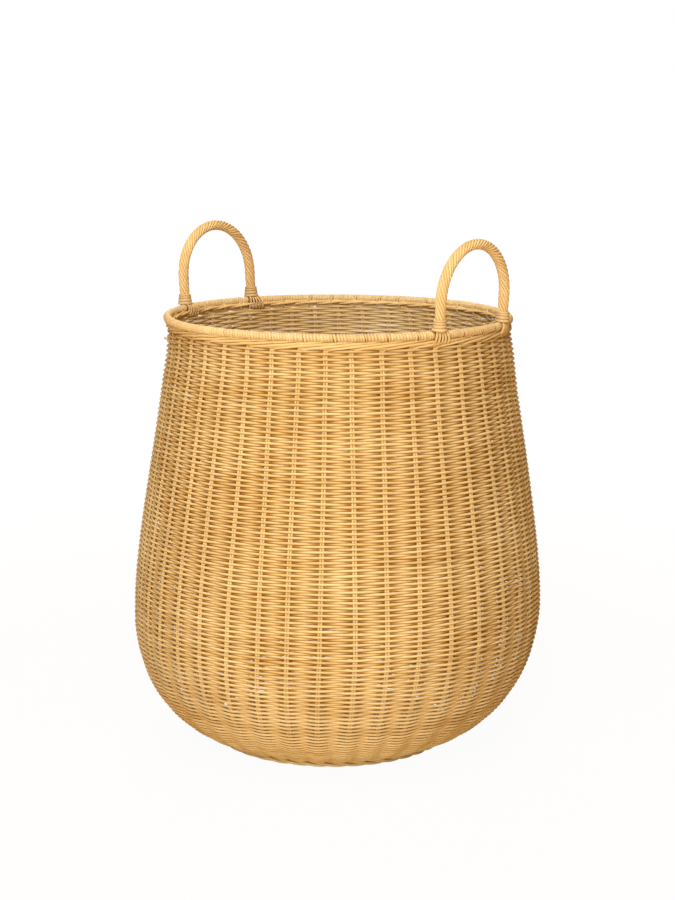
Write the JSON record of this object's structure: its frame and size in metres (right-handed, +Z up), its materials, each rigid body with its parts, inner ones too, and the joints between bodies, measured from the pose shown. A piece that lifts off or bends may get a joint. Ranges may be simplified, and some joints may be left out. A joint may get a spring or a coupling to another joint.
{
  "type": "woven floor basket",
  "caption": "Large round floor basket in plain-woven rattan core, pear shaped, open at the top, with a wrapped rim and roped arch handles.",
  "frame": {"origin": "centre of the foot, on the ground", "axes": "+Z up through the open mouth, with the two handles standing on +X and -X"},
  "size_m": [0.4837, 0.4834, 0.6021],
  "materials": {
    "weave": "natural round rattan core, satin",
    "stake": "natural round rattan core, satin",
    "border": "natural round rattan core, satin",
    "peel": "split rattan peel, satin",
    "rope": "twisted rattan core strands, satin",
    "core": "bare rattan cane, matt"
  },
  "bodies": {
    "root": {"foot_wale": "weave", "base_sticks": "stake", "base_weave": "weave", "side_weave": "weave", "stake_pair_01": "stake", "stake_pair_02": "stake", "stake_pair_03": "stake", "stake_pair_04": "stake", "stake_pair_05": "stake", "stake_pair_06": "stake", "stake_pair_07": "stake", "stake_pair_08": "stake", "stake_pair_09": "stake", "stake_pair_10": "stake", "stake_pair_11": "stake", "stake_pair_12": "stake", "stake_pair_13": "stake", "stake_pair_14": "stake", "stake_pair_15": "stake", "stake_pair_16": "stake", "stake_pair_17": "stake", "stake_pair_18": "stake", "stake_pair_19": "stake", "stake_pair_20": "stake", "stake_pair_21": "stake", "stake_pair_22": "stake", "stake_pair_23": "stake", "stake_pair_24": "stake", "stake_pair_25": "stake", "stake_pair_26": "stake", "stake_pair_27": "stake", "stake_pair_28": "stake", "stake_pair_29": "stake", "stake_pair_30": "stake", "stake_pair_31": "stake", "stake_pair_32": "stake", "stake_pair_33": "stake", "stake_pair_34": "stake", "stake_pair_35": "stake", "stake_pair_36": "stake", "stake_pair_37": "stake", "stake_pair_38": "stake", "stake_pair_39": "stake", "stake_pair_40": "stake", "stake_pair_41": "stake", "border": "border", "rim_hoop": "core", "rim_wrap": "peel", "handle_core_right": "core", "handle_core_left": "core", "handle_rope_right": "rope", "handle_rope_left": "rope", "leg_lashing_right_front": "rope", "leg_lashing_right_back": "rope", "leg_lashing_left_front": "rope", "leg_lashing_left_back": "rope", "leg_binding_right_front": "peel", "leg_binding_right_back": "peel", "leg_binding_left_front": "peel", "leg_binding_left_back": "peel"}
  },
  "joints": []
}
